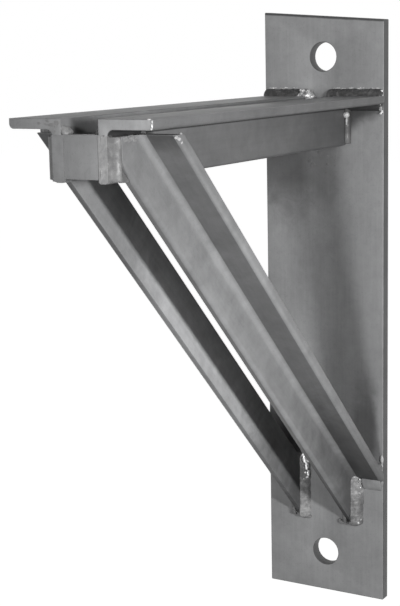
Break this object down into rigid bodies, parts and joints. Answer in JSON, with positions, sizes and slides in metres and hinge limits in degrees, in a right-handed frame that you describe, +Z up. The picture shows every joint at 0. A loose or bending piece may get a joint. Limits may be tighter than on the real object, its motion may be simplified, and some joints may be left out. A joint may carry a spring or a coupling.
{
  "type": "wall ladder bracket",
  "caption": "Welded steel wall bracket: back plate with bolt holes, a slotted arm of paired angles and two angle braces, for hanging ladders, rods or pipes.",
  "frame": {"origin": "on the wall, at the back plate's back face, midway between the two bolt holes", "axes": "+Z up the wall, -Y out from the wall along the arm, +X to the right for someone who faces the wall"},
  "size_m": [0.1032, 0.3366, 0.4688],
  "materials": {
    "bare_steel": "uncoated mill steel, satin, faint mottling",
    "weld_metal": "uncoated weld bead, rippled, brighter than the plate"
  },
  "bodies": {
    "root": {"back_plate": "bare_steel", "slot_spacer": "bare_steel", "arm_angle_right": "bare_steel", "arm_angle_left": "bare_steel", "brace_angle_right": "bare_steel", "brace_angle_left": "bare_steel", "arm_top_weld_right": "weld_metal", "arm_top_weld_left": "weld_metal", "arm_slot_weld_right": "weld_metal", "arm_slot_weld_left": "weld_metal", "arm_under_weld_right": "weld_metal", "arm_under_weld_left": "weld_metal", "foot_outer_weld_right": "weld_metal", "foot_outer_weld_left": "weld_metal", "foot_slot_weld_right": "weld_metal", "foot_slot_weld_left": "weld_metal", "foot_front_weld_right": "weld_metal", "foot_front_weld_left": "weld_metal", "foot_back_weld_right": "weld_metal", "foot_back_weld_left": "weld_metal", "brace_front_weld_right": "weld_metal", "brace_front_weld_left": "weld_metal", "brace_back_weld_right": "weld_metal", "brace_back_weld_left": "weld_metal", "spacer_top_weld_right": "weld_metal", "spacer_top_weld_left": "weld_metal", "front_seam_weld_right": "weld_metal", "front_seam_weld_left": "weld_metal"}
  },
  "joints": []
}
